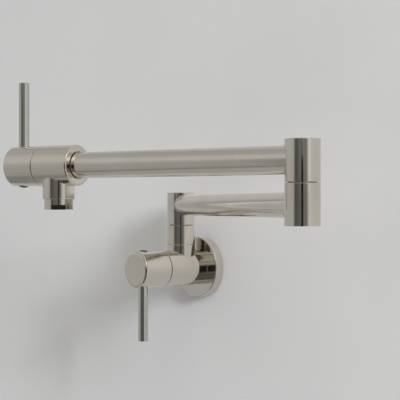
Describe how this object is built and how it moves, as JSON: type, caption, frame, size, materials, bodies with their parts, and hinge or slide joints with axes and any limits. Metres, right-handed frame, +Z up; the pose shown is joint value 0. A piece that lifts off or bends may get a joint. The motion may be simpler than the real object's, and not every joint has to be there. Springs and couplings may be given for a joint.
{
  "type": "wall mounted pot filler",
  "caption": "Wall mounted pot filler with two swivel arms, a lever valve at the wall and one at the spout, and an aerator on the outlet.",
  "frame": {"origin": "centre of the inlet's mouth, on the wall plane", "axes": "+Y into the wall along the inlet, +X along the wall, +Z up"},
  "size_m": [0.3147, 0.2361, 0.2473],
  "materials": {
    "polished_nickel": "polished nickel plate, warm grey mirror",
    "brass": "machined brass",
    "seal_rubber": "black sealing rubber",
    "ceramic": "lapped alumina ceramic",
    "stainless_steel": "stainless spring steel",
    "white_acetal": "white acetal",
    "dark_plastic": "dark satin plastic"
  },
  "bodies": {
    "wall_valve": {"wall_valve_body": "polished_nickel", "wall_flange": "polished_nickel", "wall_gasket": "seal_rubber", "flange_o_ring": "seal_rubber", "column_union": "polished_nickel", "column_seam_washer": "white_acetal", "wall_cartridge_housing": "brass", "wall_seat_gasket": "seal_rubber", "wall_fixed_disc": "ceramic"},
    "wall_handle": {"wall_handle_cap": "polished_nickel", "wall_moving_disc": "ceramic", "wall_valve_stem": "brass", "wall_stem_o_rings": "seal_rubber", "wall_stem_clip": "stainless_steel", "wall_lever_rod": "polished_nickel", "wall_set_screw": "stainless_steel", "wall_screw_plug": "dark_plastic"},
    "arm_1": {"arm_1_tube": "polished_nickel", "column_barrel": "polished_nickel", "column_spigot": "brass", "column_o_rings": "seal_rubber", "column_snap_ring": "stainless_steel", "column_thrust_washer": "white_acetal", "elbow_lower_barrel": "polished_nickel", "elbow_bottom_plug": "polished_nickel", "elbow_seam_washer": "white_acetal"},
    "arm_2": {"arm_2_tube": "polished_nickel", "elbow_upper_barrel": "polished_nickel", "elbow_spigot": "brass", "elbow_o_rings": "seal_rubber", "elbow_snap_ring": "stainless_steel", "elbow_thrust_washer": "white_acetal", "spout_valve_body": "polished_nickel", "aerator_housing": "polished_nickel", "aerator_insert": "white_acetal", "aerator_washer": "seal_rubber", "spout_cartridge_housing": "brass", "spout_seat_gasket": "seal_rubber", "spout_fixed_disc": "ceramic"},
    "spout_handle": {"spout_handle_cap": "polished_nickel", "spout_moving_disc": "ceramic", "spout_valve_stem": "brass", "spout_stem_o_rings": "seal_rubber", "spout_stem_clip": "stainless_steel", "spout_lever_rod": "polished_nickel", "spout_set_screw": "stainless_steel", "spout_screw_plug": "dark_plastic"}
  },
  "joints": [
    {"name": "wall_handle_turn", "type": "hinge", "parent": "wall_valve", "child": "wall_handle", "pos_m": [0, -0.07965, 0], "axis": [0, -1, 0], "range_deg": [0, 90]},
    {"name": "arm_1_swivel", "type": "hinge", "parent": "wall_valve", "child": "arm_1", "pos_m": [0, -0.03, 0.0642], "axis": [0, 0, 1], "range_deg": [-158, 21]},
    {"name": "arm_2_swivel", "type": "hinge", "parent": "arm_1", "child": "arm_2", "pos_m": [0.26861, -0.13581, 0.082], "axis": [0, 0, 1], "range_deg": [-30, 314]},
    {"name": "spout_handle_turn", "type": "hinge", "parent": "arm_2", "child": "spout_handle", "pos_m": [0.01889, -0.20978, 0.0996], "axis": [-0.9588, -0.284, 0], "range_deg": [0, 90]}
  ]
}
